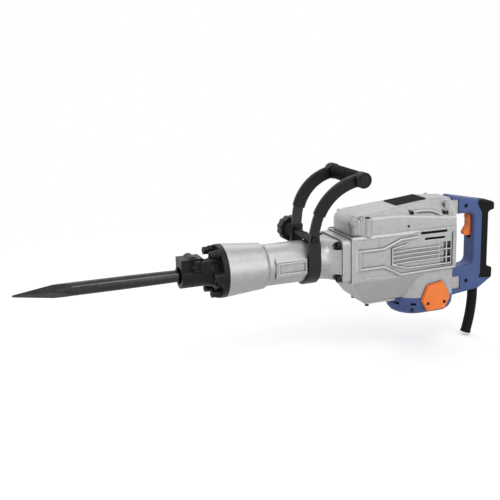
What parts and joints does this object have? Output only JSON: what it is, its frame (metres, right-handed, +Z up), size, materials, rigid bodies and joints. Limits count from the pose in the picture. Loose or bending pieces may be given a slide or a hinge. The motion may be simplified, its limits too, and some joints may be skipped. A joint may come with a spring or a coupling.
{
  "type": "demolition_hammer",
  "caption": "Electric demolition hammer with a hex-shank bull point, crank-driven striker, ribbed cast housing, swivelling side handle and a rear D handle with trigger.",
  "frame": {"origin": "Centre of the tool holder's front face, on the hammer axis.", "axes": "+X runs from the tool holder to the rear handle, +Z is up on the held tool, +Y is its right side."},
  "size_m": [1.0819, 0.178, 0.4195],
  "materials": {
    "cast_aluminium": "fine cast texture",
    "piston_aluminium": "machined",
    "black_paint": "satin",
    "bare_steel": "machined",
    "dark_steel": "oiled, forged",
    "black_screws": "black oxide",
    "blue_plastic": "fine grain",
    "orange_plastic": "smooth",
    "black_plastic": "fine grain",
    "black_rubber": "matte",
    "copper": "bare"
  },
  "bodies": {
    "hammer": {"tool_holder": "black_paint", "flange_bolts": "black_screws", "flange_washers": "bare_steel", "cylinder_case": "cast_aluminium", "barrel_bolts": "black_screws", "tool_sleeve": "bare_steel", "damper_ring": "black_rubber", "cylinder": "bare_steel", "stator_core": "bare_steel", "field_coils": "copper", "ball_bearings": "bare_steel", "brush_holders": "copper", "carbon_brushes": "black_plastic", "crankcase": "cast_aluminium", "gear_cover": "cast_aluminium", "gear_cover_screws": "black_screws", "sump_cover": "cast_aluminium", "sump_screws": "black_screws", "tail_cover": "blue_plastic", "tail_cover_screws": "black_screws", "name_plate": "black_paint", "brush_covers": "orange_plastic", "brush_cover_screws": "black_screws", "handle_shell_left": "blue_plastic", "handle_shell_right": "blue_plastic", "handle_screws": "black_screws", "handle_grip_pad": "black_rubber", "handle_mount_upper": "cast_aluminium", "handle_mount_lower": "cast_aluminium", "trigger_pin": "bare_steel", "switch_body": "black_plastic", "cord_guard": "black_rubber"},
    "bit": {"bull_point_chisel": "dark_steel"},
    "stop_lever": {"stop_lever": "black_paint", "stop_pin": "bare_steel"},
    "impact_bolt": {"impact_bolt": "bare_steel"},
    "striker": {"striker": "bare_steel", "striker_ring": "black_rubber"},
    "piston": {"piston": "piston_aluminium", "piston_ring": "black_rubber"},
    "rod": {"connecting_rod": "dark_steel", "wrist_pin": "bare_steel"},
    "crank": {"crankshaft": "bare_steel", "crank_gear": "dark_steel"},
    "intermediate_gear": {"intermediate_gear": "dark_steel"},
    "rotor": {"armature_shaft": "bare_steel", "armature_core": "dark_steel", "commutator": "copper", "cooling_fan": "black_plastic"},
    "side_handle": {"clamp_strap": "black_paint", "arm_covers": "black_plastic", "side_grip": "black_rubber", "grip_rod": "bare_steel", "grip_end_caps": "black_plastic", "clamp_bolt": "black_screws", "clamp_spacer": "black_paint"},
    "clamp_knob": {"clamp_knob": "black_plastic"},
    "trigger": {"trigger": "orange_plastic"}
  },
  "joints": [
    {"name": "bit_slide", "type": "slide", "parent": "hammer", "child": "bit", "axis": [1, 0, 0], "range_m": [0, 0.016]},
    {"name": "stop_lever_turn", "type": "hinge", "parent": "hammer", "child": "stop_lever", "pos_m": [0.031, 0, 0.0211], "axis": [0, 1, 0], "range_deg": [0, 180]},
    {"name": "impact_bolt_slide", "type": "slide", "parent": "hammer", "child": "impact_bolt", "axis": [1, 0, 0], "range_m": [0, 0.01]},
    {"name": "striker_slide", "type": "slide", "parent": "hammer", "child": "striker", "axis": [1, 0, 0], "range_m": [-0.01, 0.012]},
    {"name": "piston_slide", "type": "slide", "parent": "hammer", "child": "piston", "axis": [1, 0, 0], "range_m": [0, 0.026]},
    {"name": "crank_spin", "type": "hinge", "parent": "hammer", "child": "crank", "pos_m": [0.4549, 0, 0], "axis": [0, 0, 1], "continuous": true},
    {"name": "rod_swing", "type": "hinge", "parent": "crank", "child": "rod", "pos_m": [0.4419, 0, 0], "axis": [0, 0, 1], "continuous": true},
    {"name": "intermediate_spin", "type": "hinge", "parent": "hammer", "child": "intermediate_gear", "pos_m": [0.5149, 0, 0], "axis": [0, 0, 1], "continuous": true},
    {"name": "rotor_spin", "type": "hinge", "parent": "hammer", "child": "rotor", "pos_m": [0.5609, 0, 0], "axis": [0, 0, 1], "continuous": true},
    {"name": "side_handle_swivel", "type": "hinge", "parent": "hammer", "child": "side_handle", "pos_m": [0.2829, 0, 0], "axis": [1, 0, 0], "continuous": true},
    {"name": "clamp_knob_turn", "type": "hinge", "parent": "side_handle", "child": "clamp_knob", "pos_m": [0.2829, 0.07, 0.0542], "axis": [0, 1, 0], "continuous": true},
    {"name": "trigger_pull", "type": "hinge", "parent": "hammer", "child": "trigger", "pos_m": [0.6969, 0, 0.064], "axis": [0, -1, 0], "range_deg": [0, 10], "stiffness_Nm_per_rad": 0.6, "springref_deg": -9.74}
  ],
  "couplings": [
    {"joint": "rod_swing", "follows": "crank_spin", "ratio": -1},
    {"joint": "intermediate_spin", "follows": "crank_spin", "ratio": -2.75},
    {"joint": "rotor_spin", "follows": "crank_spin", "ratio": 9.9}
  ]
}
